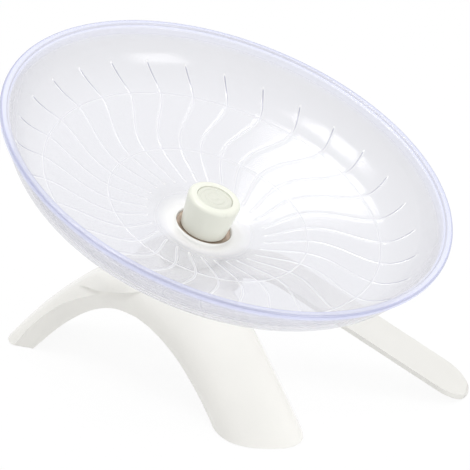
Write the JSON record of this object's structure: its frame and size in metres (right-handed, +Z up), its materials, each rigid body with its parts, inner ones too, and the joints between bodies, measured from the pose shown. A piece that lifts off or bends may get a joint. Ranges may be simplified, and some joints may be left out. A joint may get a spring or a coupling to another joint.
{
  "type": "rodent exercise wheel",
  "caption": "Tilted running dish for small rodents: a clear ribbed saucer with a white hub cap, turning on ball bearings over an arched white stand with a flat strip leg.",
  "frame": {"origin": "On the table plane under the middle of the whole object's bounding box.", "axes": "+Z up from the table. +X to the right in the picture, +Y away from the camera. The dish leans towards +X and -Y."},
  "size_m": [0.1831, 0.1776, 0.124],
  "materials": {
    "clear_plastic": "clear, faintly lavender, polished",
    "cap_plastic": "cream white, smooth",
    "disc_plastic": "cream white, slightly rough",
    "stand_plastic": "cream white, satin",
    "sleeve_plastic": "white, plain",
    "cage_plastic": "natural nylon",
    "bronze": "bronze brown, dull",
    "bearing_steel": "ground",
    "ball_steel": "polished",
    "zinc_steel": "zinc plated"
  },
  "bodies": {
    "stand": {"stand_arch": "stand_plastic", "strip_leg": "stand_plastic", "leg_screws": "zinc_steel", "axle_bolt": "zinc_steel", "axle_nut": "zinc_steel", "upper_washer": "zinc_steel", "lower_washer": "zinc_steel", "bearing_spacer": "zinc_steel", "upper_inner_race": "bearing_steel", "lower_inner_race": "bearing_steel"},
    "dish": {"saucer": "clear_plastic", "hub_cap": "cap_plastic", "cap_disc": "disc_plastic", "hub_sleeve": "sleeve_plastic", "seat_washer": "bronze", "upper_outer_race": "bearing_steel", "lower_outer_race": "bearing_steel", "upper_shields": "bearing_steel", "lower_shields": "bearing_steel"},
    "upper_cage_set": {"upper_balls": "ball_steel", "upper_cage": "cage_plastic"},
    "lower_cage_set": {"lower_balls": "ball_steel", "lower_cage": "cage_plastic"}
  },
  "joints": [
    {"name": "dish_spin", "type": "hinge", "parent": "stand", "child": "dish", "pos_m": [-0.00915, 0.00428, 0.06674], "axis": [0.3167, -0.165, 0.9341], "continuous": true},
    {"name": "upper_cage_spin", "type": "hinge", "parent": "stand", "child": "upper_cage_set", "pos_m": [-0.00915, 0.00428, 0.06674], "axis": [0.3167, -0.165, 0.9341], "continuous": true},
    {"name": "lower_cage_spin", "type": "hinge", "parent": "stand", "child": "lower_cage_set", "pos_m": [-0.01137, 0.00543, 0.0602], "axis": [0.3167, -0.165, 0.9341], "continuous": true}
  ],
  "couplings": [
    {"joint": "upper_cage_spin", "follows": "dish_spin", "ratio": 0.63222},
    {"joint": "lower_cage_spin", "follows": "dish_spin", "ratio": 0.63222}
  ]
}
